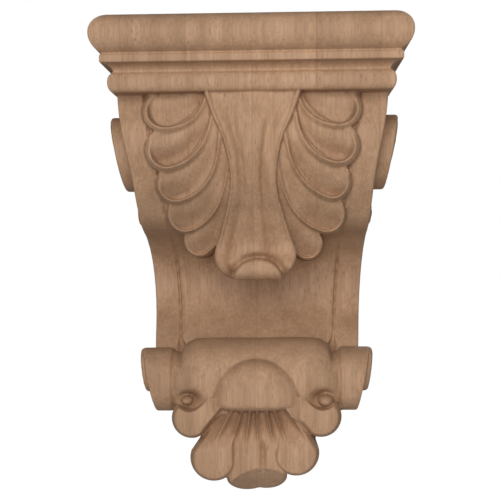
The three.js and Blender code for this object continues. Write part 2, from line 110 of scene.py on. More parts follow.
class CorbelSizes(bpy.types.PropertyGroup):
    """Sizes of the corbel"""

    cap_setback: length("Fillet setback", "Fillet behind the bullnose", 0.0062)
    bullnose: length("Bullnose height", "Height of the round top moulding", 0.0258)
    fillet: length("Fillet height", "Height of the square step", 0.005)
    cove: length("Cove height", "Height of the hollow", 0.0056)
    cove_setback: length("Cove setback", "Depth of the hollow behind the bullnose", 0.0139)
    bead: length("Bead height", "Height of the round lower moulding", 0.0124)
    bead_setback: length("Bead setback", "Bead behind the bullnose", 0.0104)
    neck_width: length("Neck width", "Body's width under the cap", 0.174)
    shoulder_width: length("Shoulder width", "Body's width below its flare", 0.155)
    shoulder_drop: length("Shoulder drop", "Where the flare ends", 0.060)
    foot_width: length("Foot width", "Body's width at the roll", 0.136)
    rail: length("Rail width", "Flat band along each front edge", 0.017)
    panel_lift: length("Panel lift", "Panel in front of the rails", 0.0016)
    roll_drop: length("Roll drop", "Height of the roll's axis", 0.187)
    roll_reach: length("Roll reach", "Roll's axis in front of the back", 0.075)
    barrel: length("Barrel radius", "Swollen middle of the roll", 0.0276)
    winding: length("Winding radius", "Ends of the roll", 0.0213)
    scroll: length("Side scroll radius", "Scrolls on the upper sides", 0.025)
    lobe_lift: length("Lobe lift", "Leaf lobes in front of the body", 0.008)
    lobe_scoop: length("Lobe scoop", "Depth of the hollow in a lobe", 0.009)
    lobe_rim: length("Lobe bevel", "From a lobe's outline to its crest", 0.0031)
    leaf_length: length("Leaf length", "Drop of the leaf's tip", 0.120)
    lip: length("Lip radius", "Rolled-over end of the leaf", 0.0161)
    dome: length("Dome radius", "Round head of the shell", 0.0298)
    shell_drop: length("Shell drop", "Lowest point of the shell", 0.2655)
    voxel: length("Carving fineness", "Edge of the cells that unite the parts", 0.00065)
    triangles: IntProperty(
        name="Triangles", description="Most triangles of the carving", default=188000, min=1000
    )


class CorbelFinish(bpy.types.PropertyGroup):
    """Looks of the bare wood"""

    light_wood: swatch("Light wood", "Between the grain lines", (0.560, 0.345, 0.212))
    dark_wood: swatch("Dark wood", "In the grain lines", (0.440, 0.258, 0.148))
    pore: swatch("Pores", "Short dark pores and glue lines", (0.235, 0.122, 0.060))
    end_grain: swatch("End grain", "Where the carving cuts across the fibres", (0.300, 0.178, 0.103))
    # Colour of the painted shade laid into the hollows and creases
    hollow: swatch("Hollows", "Dust and shade held in the hollows", (0.190, 0.112, 0.062))
    roughness: level("Roughness", "Of the sanded wood", 0.62)
    stave: length("Stave width", "Boards glued side by side", 0.0405)


class CorbelStage(bpy.types.PropertyGroup):
    """Camera and light"""

    camera_distance: length("Camera distance", "In front of the back face", 0.85)
    camera_side: length("Camera to the right", "Of the corbel's middle", 0.022)
    camera_height: length("Camera height", "Above the origin", 0.00835)
    floor_gap: length("Floor gap", "Floor below the shell", 0.45)
    floor_half: length("Floor half width", "Pale floor round the corbel", 0.6)
    key_power: power("Key light", "Soft light from above the front", 12.7)
    fill_power: power("Fill light", "Soft light from the front, a little low", 5.4)
    back_power: power("Back light", "Faint light on the hidden back", 4.0)
    sky: level("Sky", "Even white light all round", 0.14)


def mix(a, b, share):
    return a + (b - a) * share


def clamp(value, low=0.0, high=1.0):
    return min(high, max(low, value))


def smooth(value):
    t = clamp(value)
    return t * t * (3 - 2 * t)


def rise(value, start, end):
    """How far a value has risen from start to end, softly, from 0 to 1."""
    return smooth((value - start) / (end - start))


def bump(value, middle, spread):
    """A soft hump of height 1 at the middle, gone at twice the spread."""
    return math.exp(-(((value - middle) / spread) ** 2) * 2)


def steps(count):
    return [i / count for i in range(count + 1)]


def through(points):
    """A smooth function through the points (at, value), level beyond both ends."""

    def slope(i):
        before = points[max(i - 1, 0)]
        after = points[min(i + 1, len(points) - 1)]
        return (after[1] - before[1]) / (after[0] - before[0])

    slopes = [slope(i) for i in range(len(points))]

    def value(at):
        x = clamp(at, points[0][0], points[-1][0])
        i = 0
        while i < len(points) - 2 and points[i + 1][0] < x:
            i += 1
        (x0, y0), (x1, y1) = points[i], points[i + 1]
        h = x1 - x0
        t = (x - x0) / h
        bend0 = slopes[i] * h * t * (1 - t) * (1 - t)
        bend1 = slopes[i + 1] * h * t * t * (t - 1)
        return mix(y0, y1, smooth(t)) + bend0 + bend1

    return value


class Blank:
    """The corbel's sizes in millimetres, and the curves that its carving follows."""

    BULGE = (28, 126)
    WAIST = (122, 38)
    NECK_REACH = 118
    LEAF_LEAVES_BODY = 0.52
    LEAF_END_FALL = 0.9

    def __init__(self, sizes):
        for name in CorbelSizes.__annotations__:
            value = getattr(sizes, name)
            setattr(self, name, value if name == "triangles" else value / MM)
        self.cap_height = self.bullnose + self.fillet + self.cove + self.bead
        self.top = HIGH.z / MM
        self.neck = self.top - self.cap_height
        self.reach_at = self.front_curve()
        self.leaf_start = mix(self.BULGE[0], self.WAIST[0], self.LEAF_LEAVES_BODY)

    def front_curve(self):
        """The S-curve of the front: how far the body reaches at a drop."""

        def between(start, end, share, fall):
            return mix(start[0], end[0], share), mix(start[1], end[1], fall)

        roll = (self.roll_drop, self.roll_reach)
        upper = [(0.3, 0.125), (0.51, 0.31), (0.6, 0.44), (0.69, 0.72), (0.82, 0.92)]
        lower = [(0.3, 0.17), (0.66, 0.72)]
        return through(
            [
                (-self.cap_height, self.NECK_REACH),
                (0, self.NECK_REACH),
                self.BULGE,
                *(between(self.BULGE, self.WAIST, *shares) for shares in upper),
                self.WAIST,
                *(between(self.WAIST, roll, *shares) for shares in lower),
                roll,
            ]
        )

    def half_width_at(self, drop):
        """Half the body's width at a drop: a straight taper with a flare under the cap."""
        taper = (self.shoulder_width - self.foot_width) / (self.roll_drop - self.shoulder_drop)
        straight = self.foot_width + taper * (self.roll_drop - drop)
        flare = self.neck_width - (self.foot_width + taper * self.roll_drop)
        return (straight + flare * smooth(1 - drop / self.shoulder_drop)) / 2

    def leaf_reach_at(self, drop):
        """The leaf falls more gently than the body below its fourth lobes."""
        if drop < self.leaf_start:
            return self.reach_at(drop)
        return self.reach_at(self.leaf_start) - (drop - self.leaf_start) * self.LEAF_END_FALL

    def at(self, x, reach, drop):
        return Vector((x, -reach, self.neck - drop)) * MM

    def mirrored(self, side, drop):
        """A loop across the corbel, from the (x, reach) points of its right half."""
        left = [self.at(-x, reach, drop) for x, reach in side]
        return left + [self.at(x, reach, drop) for x, reach in reversed(side)]


def blank_of(context):
    return Blank(context.scene.corbel_sizes)


def wrapped(rows):
    """A grid wrapped through rows of points, each row a closed loop of equal length."""
    columns = len(rows[0])
    bm = bmesh.new()
    bmesh.ops.create_grid(bm, x_segments=columns, y_segments=len(rows) - 1, size=1)
    bm.verts.ensure_lookup_table()
    for index, vert in enumerate(bm.verts):
        row, column = divmod(index, columns + 1)
        vert.co = rows[row][column % columns]
    return closed(bm)


def lofted(loops):
    """A stack of loops, closed at both ends by their middles."""

    def middle(loop):
        centre = sum(loop, Vector()) / len(loop)
        return [centre] * len(loop)

    return wrapped([middle(loops[0]), *loops, middle(loops[-1])])


def closed(bm):
    bmesh.ops.remove_doubles(bm, verts=bm.verts, dist=MERGE)
    bmesh.ops.dissolve_degenerate(bm, edges=bm.edges, dist=MERGE)
    bmesh.ops.recalc_face_normals(bm, faces=bm.faces)
    return bm


def mesh_of(bm, name):
    mesh = bpy.data.meshes.new(name)
    bm.to_mesh(mesh)
    bm.free()
    return mesh


def placed(name, data):
    """An object with this data, in the scene."""
    item = bpy.data.objects.new(name, data)
    bpy.context.scene.collection.objects.link(item)
    return item


def rough(name, shapes):
    """An object of roughed-out wood that the finishing joins to the others."""
    bm = bmesh.new()
    for shape in shapes:
        mesh = mesh_of(shape, "shape")
        bm.from_mesh(mesh)
        bpy.data.meshes.remove(mesh)
    placed(name, mesh_of(bm, name))["rough"] = True


BULLNOSE_UNDERSIDE = -math.pi / 2.35


def cap_profile(blank):
    """Setbacks and depths of the moulding, from the top down."""
    radius = blank.bullnose / 2
    profile = []
    for t in steps(24):
        angle = mix(math.pi / 2, BULLNOSE_UNDERSIDE, t)
        profile.append((radius - radius * math.cos(angle), radius - radius * math.sin(angle)))
    profile.append((blank.cap_setback, blank.bullnose))
    fillet_end = blank.bullnose + blank.fillet
    for t in steps(10):
        angle = t * math.pi / 2
        inward = (blank.cove_setback - blank.cap_setback) * math.sin(angle)
        depth = fillet_end + blank.cove * (1 - math.cos(angle))
        profile.append((blank.cap_setback + inward, depth))
    bead_top = fillet_end + blank.cove
    for t in steps(18)[1:]:
        out = (blank.cove_setback - blank.bead_setback) * math.sin(t * math.pi)
        depth = bead_top + blank.bead * (1 - math.cos(t * math.pi)) / 2
        profile.append((blank.cove_setback - out, depth))
    return profile


def cap(blank):
    """The moulding, drawn up from its underside ring by ring."""
    width, depth = HIGH.x - LOW.x, -LOW.y
    bm = bmesh.new()
    bmesh.ops.create_grid(bm, x_segments=1, y_segments=1, size=1)
    layer = list(bm.verts)
    face = list(bm.faces)
    for number, (setback, down) in enumerate(reversed(cap_profile(blank))):
        if number:
            made = bmesh.ops.extrude_face_region(bm, geom=face)["geom"]
            layer = [item for item in made if isinstance(item, bmesh.types.BMVert)]
            face = [item for item in made if isinstance(item, bmesh.types.BMFace)]
        half = width / 2 - setback * MM
        for vert in layer:
            side = half if vert.co.x > 0 else -half
            at_back = vert.co.y > -depth / 2
            vert.co = (side, 0 if at_back else setback * MM - depth, (blank.top - down) * MM)
    return closed(bm)


RAIL_EDGE = 0.8
RAIL_CROWN = 0.1
PANEL_EDGE = {"width": 3, "lift": 0.7}
PANEL_GROOVE = {"width": 1.5, "depth": 2.3}
PANEL_GROOVE_END = {"width": 5, "depth": 5, "spread": 5}


def body(blank):
    """Rails, a groove beside each that ends in a dent above the roll, and the raised panel."""

    def half_section(drop):
        dent = bump(drop, blank.roll_drop - blank.winding, PANEL_GROOVE_END["spread"])
        groove = mix(PANEL_GROOVE["width"], PANEL_GROOVE_END["width"], dent)
        depth = mix(PANEL_GROOVE["depth"], PANEL_GROOVE_END["depth"], dent)
        half = blank.half_width_at(drop)
        reach = blank.reach_at(drop)
        inner = half - blank.rail
        return [
            (half, 0),
            (half, reach - RAIL_EDGE),
            (half - RAIL_EDGE, reach),
            (inner + groove / 2, reach + RAIL_CROWN),
            (inner, reach - depth),
            (inner - groove / 2, reach - depth),
            (inner - groove, reach + blank.panel_lift * PANEL_EDGE["lift"]),
            (inner - groove - PANEL_EDGE["width"], reach + blank.panel_lift),
        ]

    top = -blank.bead / 2
    foot = blank.roll_drop + blank.winding / 2.5
    drops = [mix(top, foot, t) for t in steps(170)]
    return lofted([blank.mirrored(half_section(drop), drop) for drop in drops])


TAIL_REACH = 62
TAIL_BEVEL = 0.7
TAIL_SHORTFALL = 4
TAIL_LEVELS = [
    (0, 0.99, 1),
    (0.24, 0.91, 1),
    (0.36, 0.8, 1),
    (0.52, 0.63, 1),
    (0.72, 0.56, 0.9),
    (0.86, 0.43, 0.8),
    (0.96, 0.24, 0.66),
    (1, 0.1, 0.6),
]


def tail(blank):
    """The plain back of the shell, narrowing to its lowest lobe."""
    half_at = through([(at, half * blank.foot_width / 2) for at, half, _ in TAIL_LEVELS])
    front_at = through([(at, reach * TAIL_REACH) for at, _, reach in TAIL_LEVELS])
    loops = []
    for t in steps(40):
        half, front = half_at(t), front_at(t)
        drop = mix(blank.roll_drop, blank.shell_drop - TAIL_SHORTFALL, t)
        side = [(half, 0), (half, front * TAIL_BEVEL), (half * TAIL_BEVEL, front)]
        loops.append(blank.mirrored(side, drop))
    return lofted(loops)


EYE_CROWN = 1.5
EYE_STAND = 0.2
BAND_FULLNESS = 0.6
BAND_SINK = 0.35
BAND_FADES = (-0.24, 0.96)


def spiral_lift(radius, eye, pitch, band):
    """How far a scroll's face stands out: a round band that winds in to a round eye."""

    def lift(r, angle):
        if r <= eye:
            return band * (EYE_CROWN * math.sqrt(1 - (r / eye) ** 2) + EYE_STAND)
        phase = ((r - eye) / pitch - angle / TURN) % 1
        crest = math.sin(math.pi * phase) ** BAND_FULLNESS
        return band * (crest - BAND_SINK) * rise(radius - r, *BAND_FADES)

    return lift


DRUM_ROOT = 6
DRUM_CROWN = 1.1
DRUM_EDGE = [(1, 1), (0.3, 0.985), (0, 0.955)]
DRUM_FACE = 0.92


def drum(blank, side, drop, reach, radius, start, end, slant, face_lift=None):
    """A drum with its axis along X, from the inside of the body to a slanted, carved end."""

    def ring(x, size, lean, lift=None):
        points = []
        for t in steps(144)[:-1]:
            angle = t * TURN
            up = radius * size * math.cos(angle)
            out = radius * size * math.sin(angle)
            raised = lift(radius * size, side * angle) if lift else 0
            points.append(blank.at(side * (x + lean * up + raised), reach + out, drop - up))
        return points

    rows = [ring(start, 0, 0), ring(start, 1, 0)]
    rows += [ring(end - DRUM_CROWN * before, size, slant) for before, size in DRUM_EDGE]
    rows += [ring(end, DRUM_FACE * (1 - t), slant, face_lift) for t in steps(44)]
    return wrapped(rows)


ROLL_LENGTH = 143.2
ROLL_RIM = 1
ROLL_END_SLANT = 0.2
BARREL_LENGTH = 88
BARREL_SHOULDER = {"run": 4, "start": 0.3, "end": 0.6}
WINDING_GROOVE = {"place": 0.4, "depth": 2.2, "half": 1.6, "inner": 0.3, "outer": 0.2, "run": 5}
ROLL_DENT = {"at": 51.5, "depth": 5, "spread": 3.2}
POCKET = {"at": 43.5, "drop": 11, "depth": 14, "width": 9, "height": 6.5}
ROLL_EYE = {"radius": 14.5, "length": 152, "raised": 0.9, "slant": 0.7}
ROLL_SPIRAL = {"eye": 3.6, "pitch": 4.8, "band": 1}


def roll_radius_curve(blank):
    """The roll's radius by the distance from its middle."""
    shoulder, groove = BARREL_SHOULDER, WINDING_GROOVE
    groove_at = mix(BARREL_LENGTH, ROLL_LENGTH, groove["place"]) / 2
    shoulder_end = mix(blank.barrel, blank.winding, shoulder["end"])
    return through(
        [
            (0, blank.barrel),
            (BARREL_LENGTH / 2 - shoulder["run"], blank.barrel - shoulder["start"]),
            (BARREL_LENGTH / 2 + shoulder["run"], shoulder_end),
            (groove_at - groove["half"], blank.winding - groove["depth"] * groove["inner"]),
            (groove_at, blank.winding - groove["depth"]),
            (groove_at + groove["half"], blank.winding - groove["outer"]),
            (groove_at + groove["run"], blank.winding),
            (ROLL_LENGTH / 2, blank.winding),
        ]
    )


def roll(blank):
    """A swollen barrel between two windings, spun round the roll's axis."""
    radius_at = roll_radius_curve(blank)
    half = ROLL_LENGTH / 2
    rim = blank.winding - ROLL_RIM
    stations = [mix(-half, half, t) for t in steps(150)]
    profile = [(-half, 0), (-half, rim), *((x, radius_at(abs(x))) for x in stations)]
    profile += [(half, rim), (half, 0)]
    bm = bmesh.new()
    centre = blank.at(0, blank.roll_reach, blank.roll_drop)
    verts = [bm.verts.new(centre + Vector((x, 0, radius)) * MM) for x, radius in profile]
    edges = [bm.edges.new(pair) for pair in zip(verts, verts[1:])]
    bmesh.ops.spin(
        bm, geom=verts + edges, cent=centre, axis=(1, 0, 0), angle=TURN, steps=112, use_merge=True
    )
    for vert in bm.verts:
        share = vert.co.x / MM / half
        lean = ROLL_END_SLANT * rise(abs(share), 0.9, 1)
        up = (vert.co.z - centre.z) / MM
        at = abs(share) * half
        on_top = rise(up / blank.winding, 0.1, 1.1)
        in_front = smooth((centre.y - vert.co.y) / MM / blank.winding)
        dent = ROLL_DENT["depth"] * bump(at, ROLL_DENT["at"], ROLL_DENT["spread"]) * on_top
        pocket = POCKET["depth"] * in_front * bump(at, POCKET["at"], POCKET["width"])
        vert.co.x += math.copysign(lean, share) * up * MM
        vert.co.z -= dent * MM
        vert.co.y += pocket * bump(-up, POCKET["drop"], POCKET["height"]) * MM
    radius = ROLL_EYE["radius"]
    eye_drop = blank.roll_drop - (blank.winding - radius) * ROLL_EYE["raised"]
    slant = ROLL_END_SLANT * ROLL_EYE["slant"]
    eyes = [
        drum(
            blank, side, eye_drop, blank.roll_reach, radius, half - DRUM_ROOT,
            ROLL_EYE["length"] / 2, slant, spiral_lift(radius, **ROLL_SPIRAL),
        )
        for side in (-1, 1)
    ]
    return [closed(bm), *eyes]


SCROLL = {"drop": 35, "reach": 78, "stand": 10, "slant": 0.19}
VOLUTE = {"radius": 17.5, "stand": 1.8, "raised": 0.92}
VOLUTE_SPIRAL = {"eye": 4.2, "pitch": 5.4, "band": 1.1}
BUD = {"drop": 76, "reach": 86, "radius": 6.5, "stand": 0.9, "slant": 0.05}
BUD_SPIRAL = {"eye": 3, "pitch": 5, "band": 0.5}


def side_scrolls(blank):
    """On each upper side, a wide winding with a raised volute high in it, and a small bud below."""
    face = blank.half_width_at(SCROLL["drop"])
    front = face + SCROLL["stand"]
    volute_drop = SCROLL["drop"] - (blank.scroll - VOLUTE["radius"]) * VOLUTE["raised"]
    beside = blank.half_width_at(BUD["drop"])
    shapes = []
    for side in (-1, 1):
        winding = drum(
            blank, side, SCROLL["drop"], SCROLL["reach"], blank.scroll, face - DRUM_ROOT,
            front, SCROLL["slant"],
        )
        volute = drum(
            blank, side, volute_drop, SCROLL["reach"], VOLUTE["radius"], face - DRUM_ROOT,
            front + VOLUTE["stand"], SCROLL["slant"],
            spiral_lift(VOLUTE["radius"], **VOLUTE_SPIRAL),
        )
        bud = drum(
            blank, side, BUD["drop"], BUD["reach"], BUD["radius"], beside - DRUM_ROOT,
            beside + BUD["stand"], BUD["slant"], spiral_lift(BUD["radius"], **BUD_SPIRAL),
        )
        shapes += [winding, volute, bud]
    return shapes


def tongue(root, bend, tip, tip_radius, root_half, low, swell, along, round_steps):
    """The outline of a tongue: down one side from its root, round its tip and up the other.

    Each point has its place on the spine, its place on the edge, how far along it is, which side
    it lies on (from -1 on the upper side to 1 on the lower) and half the width there.
    """
    root, bend, tip = Vector(root), Vector(bend), Vector(tip)

    def point(s, angle):
        spine = root * (1 - s) ** 2 + bend * 2 * s * (1 - s) + tip * s * s
        run = ((bend - root) * (1 - s) + (tip - bend) * s).normalized()
        across = Vector((-run.y, run.x)) * low
        half = mix(root_half, tip_radius, swell(s))
        edge = spine + (across * math.cos(angle) + run * math.sin(angle)) * half
        return spine, edge, s, math.cos(angle), half

    straight = steps(along)
    outline = [point(s, 0) for s in straight]
    outline += [point(1, t * math.pi) for t in steps(round_steps)[1:-1]]
    outline += [point(s, math.pi) for s in reversed(straight)]
    return outline


TONGUE_LAYERS = [1 - (1 - t) ** 1.6 for t in steps(34)]


def carved_tongue(blank, outline, top, bottom, taper=1.0):
    """A tongue standing on the body: top gives its face's reach, bottom its back's at a drop."""

    def row(share, reach):
        points = []
        for spine, edge, s, side, half in outline:
            place = spine.lerp(edge, share)
            points.append(blank.at(place.x, reach(share, place, s, side, half), place.y))
        return points

    def back(share, place, *_):
        return bottom(place.y)

    face = [row(share, top) for share in TONGUE_LAYERS]
    return wrapped([*face, row(taper, back), row(0, back)])


LEFT_LOBES = [
    ((-31, -8), (-36, 11), (-54.6, 10.5), 15.4),
    ((-26, 2), (-32, 32), (-54.1, 36.5), 14),
    ((-22, 14), (-26, 53), (-49.8, 58), 12.6),
    ((-16, 28), (-23.8, 71), (-45.4, 77), 11.9),
    ((-15, 50), (-23.4, 86), (-37.6, 94.4), 10.2),
]
RIGHT_LOBES = [
    ((30.5, -8), (36, 9.5), (54.8, 10), 15),
    ((28.5, 2), (34.5, 30.5), (54.2, 34.5), 13.8),
    ((22.6, 13), (27, 48), (50.8, 57), 12.4),
    ((17.2, 28), (24.2, 71), (47.8, 77.6), 12.3),
    ((16.2, 50), (23.4, 87), (35.4, 97), 10.2),
]
LOBE_TILT = 2.6
LOBE_ROOT_HALF = 3.6
CREST_LIMIT = 0.45
BEVEL_FALL = 4.4
BEVEL_ROUNDING = 1.15
BEVEL_SIDE = (-0.85, -0.45)
BEVEL_ROOT = (-0.1, 0.233)
SCOOP_RUN = 1.9
SCOOP_ABOVE = 0.1
SCOOP_ACROSS = (-0.45, 0.8)
SCOOP_ROOT = (-0.1, 0.567)
EMBED = 6


def bevelled(edge, inset, fall):
    """How far a face has fallen outside its crest, which runs inset from its edge."""
    return fall * clamp(1 - edge / inset) ** BEVEL_ROUNDING


def lobe(blank, root, bend, tip, tip_radius, low, depth, rim):
    """A lobe that hollows towards a crest along its lower side, with a bevel outside the crest."""
    outline = tongue(
        root, bend, tip, tip_radius, LOBE_ROOT_HALF, low,
        lambda s: math.sin(s * math.pi / 2), 44, 40,
    )

    def top(share, place, s, side, half):
        edge = (1 - share) * half
        across = side * share
        inset = min(blank.lobe_rim * rim, half * CREST_LIMIT)
        wall = rise(edge, inset, inset + SCOOP_RUN)
        hollowed = mix(SCOOP_ABOVE, 1, rise(across, *SCOOP_ACROSS)) * rise(s, *SCOOP_ROOT)
        scoop = blank.lobe_scoop * depth * wall * hollowed
        bare = rise(side, *BEVEL_SIDE) * rise(s, *BEVEL_ROOT)
        base = blank.leaf_reach_at(place.y) + blank.lobe_lift
        return base + LOBE_TILT * across - scoop - bare * bevelled(edge, inset, BEVEL_FALL)

    return carved_tongue(blank, outline, top, lambda drop: blank.reach_at(drop) - EMBED)


BED_HALF = [
    (-6, 36), (12, 32), (30, 25), (48, 22), (62, 22.5), (74, 25), (84, 27), (92, 28), (98, 26),
]
BED_BELOW_LOBES = 1.8
BED_EDGE = 2.4


def bed(blank):
    """The leaf's own ground, which joins the roots of the lobes to the stem."""
    half_at = through(BED_HALF)
    loops = []
    for t in steps(60):
        drop = mix(BED_HALF[0][0], BED_HALF[-1][0], t)
        half = half_at(drop)
        front = blank.leaf_reach_at(drop) + blank.lobe_lift - BED_BELOW_LOBES
        side = [
            (half, blank.reach_at(drop) - EMBED),
            (half, front - BED_EDGE),
            (half - BED_EDGE, front),
        ]
        loops.append(blank.mirrored(side, drop))
    return lofted(loops)


LOBE_DEPTHS = [1.35, 1.15, 0.8, 0.55, 0.55]
LOBE_RIMS = [1, 1, 0.8, 0.5, 0.42]
LEAF_SIDESTEP = 0.5
LIP_SIDESTEP = 2.2
LIP_RISE = 0.86
LIP_DEPTH = 22
LIP_FOOT = 0.5
LIP_STAND = 1
LIP_CROWN = 2.6
LIP_UNDER = 7
LIP_EDGE = {"width": 2.6, "fall": 4}
LEAF_TIP_REACH = 107
STEM_LIFT = 10
STEM_TOP = -6
STEM_BACK = 0.9
STEM_HALF = [
    (-6, 33), (0, 31), (14, 26), (30, 19), (46, 15.4), (58, 14.8), (70, 17), (88, 22.5),
    (102, 27), (110, 25.6), (115, 22), (118.5, 17), (120, 12),
]
STEM_GROOVE_LEFT = [(-6, 0.6), (12, 0.57), (36, 0.52), (63, 0.46), (73, 0.5), (92, 0.6), (120, 0.66)]
STEM_GROOVE_RIGHT = [(-6, 0.58), (12, 0.52), (28, 0.43), (63, 0.38), (90, 0.36), (120, 0.42)]
STEM_END_REACH = [(80, 1), (95, -9), (104, -9.5), (112, -8), (117, -11)]
STEM_END_SINK = 17
STEM_RIB = 0.4
STEM_GROOVES = {"depth": 3, "ease": 1.2, "fade": (-4, 22)}
STEM_BLADE_END = 0.86
STEM_RIM = {"at": 0.94, "lift": 1.9, "loss": 0.85, "fade": (86, 102)}
STEM_EDGE_FALL = 0.9
EAR = {"at": 0.72, "width": 0.36, "lift": 4.2, "drop": 110, "height": 9, "flare": 0.9, "start": 92}
ARCH = {"gap": 1.6, "depth": 4.2, "width": 4.4, "fade": (98, 104)}


def stem_reach_curve(blank):
    """How far the stem reaches at a drop: it rides the body, then dips and ends at the tip."""
    below_bulge = blank.BULGE[0] * 2
    return through(
        [
            (-blank.cap_height, blank.NECK_REACH + STEM_LIFT),
            (0, blank.NECK_REACH + STEM_LIFT + 2),
            (blank.BULGE[0], blank.BULGE[1] + STEM_LIFT),
            (below_bulge, blank.reach_at(below_bulge) + STEM_LIFT + 2),
            *((drop, LEAF_TIP_REACH + out) for drop, out in STEM_END_REACH),
            (blank.leaf_length, LEAF_TIP_REACH - STEM_END_SINK),
        ]
    )


def stem_lift_curve(groove, cut, rim):
    """Lift from the stem's middle to its edge: a rib, a groove, a level stretch and a thin rim."""
    return through(
        [
            (0, STEM_RIB),
            (groove * 0.6, 0),
            (groove, -STEM_GROOVES["depth"] * cut),
            (mix(groove, STEM_BLADE_END, 0.4), -STEM_GROOVES["ease"] * cut),
            (mix(groove, STEM_BLADE_END, 0.75), STEM_RIB / 2),
            (STEM_BLADE_END + 0.01, STEM_RIB / 4),
            (STEM_RIM["at"], STEM_RIM["lift"] * rim),
            (1, -STEM_EDGE_FALL),
        ]
    )


def stem(blank):
    """An hourglass with a thin raised rim on each side, grooves and a round rib, down to two ears."""
    half_at = through(STEM_HALF)
    reach_at = stem_reach_curve(blank)
    left_groove_at = through(STEM_GROOVE_LEFT)
    right_groove_at = through(STEM_GROOVE_RIGHT)
    foot = blank.leaf_length
    loops = []
    for t in steps(150):
        drop = mix(STEM_TOP, foot, t)
        half = half_at(drop)
        reach = reach_at(drop)
        undercut = rise(drop, EAR["start"], foot)
        flare = 1 + EAR["flare"] * undercut
        cut = rise(drop, *STEM_GROOVES["fade"])
        rim = 1 - STEM_RIM["loss"] * rise(drop, *STEM_RIM["fade"])
        left = stem_lift_curve(left_groove_at(drop), cut, rim)
        right = stem_lift_curve(right_groove_at(drop), cut, rim)
        ears = EAR["lift"] * bump(drop, EAR["drop"], EAR["height"])
        arched = ARCH["depth"] * rise(drop, *ARCH["fade"])
        front = []
        for share in (mix(-1, 1, u) for u in steps(92)):
            x = share * half + LEAF_SIDESTEP
            lift = flare * (right if share > 0 else left)(abs(share))
            ear = ears * bump(abs(share), EAR["at"], EAR["width"])
            from_lip = math.hypot(x - LIP_SIDESTEP, (foot - drop) / LIP_RISE) - blank.lip
            dip = arched * bump(from_lip, ARCH["gap"], ARCH["width"])
            front.append(blank.at(x, reach + lift + ear - dip, drop))
        behind = min(blank.reach_at(drop), reach) - EMBED
        back = mix(behind, max(behind, LEAF_TIP_REACH - LIP_DEPTH), undercut)
        loops.append(front + [blank.at(side * half * STEM_BACK, back, drop) for side in (1, -1)])
    return lofted(loops)


def lip(blank):
    """The rolled-over end of the leaf, a crowned half disc between the ears."""
    foot = blank.leaf_length - LIP_FOOT
    angles = [t * math.pi for t in steps(64)]

    def layer(size, reach_of):
        points = []
        for angle in angles:
            up = math.sin(angle) * size
            x = LIP_SIDESTEP + blank.lip * math.cos(angle) * size
            points.append(blank.at(x, reach_of(up, size), foot - up * blank.lip * LIP_RISE))
        return points

    def face(up, size):
        edge = (1 - size) * blank.lip
        rolled = LIP_CROWN * up**2 + LIP_UNDER * (1 - up) ** 4
        turned = 1 - math.sqrt(1 - clamp(1 - edge / LIP_EDGE["width"]) ** 2)
        return LEAF_TIP_REACH + LIP_STAND - rolled - LIP_EDGE["fall"] * turned

    def back(up, size):
        return LEAF_TIP_REACH - LIP_DEPTH

    sizes = [1 - 0.97 * t**1.4 for t in steps(26)]
    return lofted([layer(1, back), *(layer(size, face) for size in sizes)])


def leaf(blank):
    shapes = []
    for lobes, low in ((LEFT_LOBES, -1), (RIGHT_LOBES, 1)):
        rows = zip(lobes, LOBE_DEPTHS, LOBE_RIMS)
        shapes += [lobe(blank, *sizes, low, depth, rim) for sizes, depth, rim in rows]
    return shapes + [bed(blank), stem(blank), lip(blank)]


DOME_DEPTH = 26
DOME_REACH = 113
DOME_DROP = 198
DOME_SIDESTEP = 0.3
DOME_FULLNESS = 3
DOME_HEAD = 0.91
DOME_FOOT = 0.265
DOME_SQUARE = 0.65


def dome(blank):
    """The round head of the shell, full in the middle and square to the roll at its edge."""
    loops = []
    for t in steps(40):
        share = math.sin(t * math.pi / 2) * 0.998
        size = blank.dome * (1 - share**DOME_FULLNESS) ** (1 / DOME_FULLNESS)
        loop = []
        for turn in steps(96)[:-1]:
            up, out = math.cos(turn * TURN), math.sin(turn * TURN)
            if up > 0:
                up *= DOME_HEAD
            else:
                out = math.copysign(abs(out) ** DOME_SQUARE, out)
                up = -DOME_FOOT * abs(up) ** DOME_SQUARE
            reach = DOME_REACH - DOME_DEPTH * (1 - share)
            loop.append(blank.at(DOME_SIDESTEP + size * out, reach, DOME_DROP - size * up))
        loops.append(loop)
    return lofted(loops)


PETALS = [
    {"root": (-20, 15), "half": 5.5, "bend": (-30.6, 16), "tip": (-42.6, 23.9), "radius": 13.5,
     "reach": 99, "shelf": 19.2},
    {"root": (-15.9, 13), "half": 4.6, "bend": (-22.5, 32), "tip": (-28.6, 51), "radius": 15.8,
     "reach": 94},
    {"root": (-4.4, 14), "half": 7.4, "bend": (-7.6, 38), "tip": (-5.1, 62.7), "radius": 15.6,
     "reach": 90},
    {"root": (7.1, 14), "half": 4.6, "bend": (11.8, 38), "tip": (5.4, 62.7), "radius": 15.2,
     "reach": 90},
    {"root": (14.9, 13), "half": 4.4, "bend": (22.5, 29), "tip": (26.2, 48), "radius": 15.5,
     "reach": 94},
    {"root": (20, 15), "half": 5.5, "bend": (30.4, 16), "tip": (42.7, 23.2), "radius": 13.8,
     "reach": 99, "shelf": 18.6},
]
PETAL_ROOT_SINK = 6
PETAL_BULGE = {"lift": 2.2, "start": 0.35, "end": 0.85}
PETAL_BEVEL = {"width": 2.8, "fall": 6.5, "start": 0.4, "end": 0.733}
PETAL_BACK = {"share": 0.55, "taper": 0.9}
FLUTE = {"depth": 11, "fullness": 0.7, "fade": (212, 233)}
FAN_CENTRE = (1, 172)
FAN_RIDGES = [-38, -27, -17, -8, -0.5, 10.5, 18.5, 31]
SPLIT = {"x": 4, "depth": 3.6, "width": 2.3, "fade": (241, 250)}
FACET = {"x": 4, "rise": 21, "curve": 0.02, "slope": 1.3, "depth": 26}
SHELF = {"x": 44, "curve": 0.06, "fall": 16, "run": 2.5}
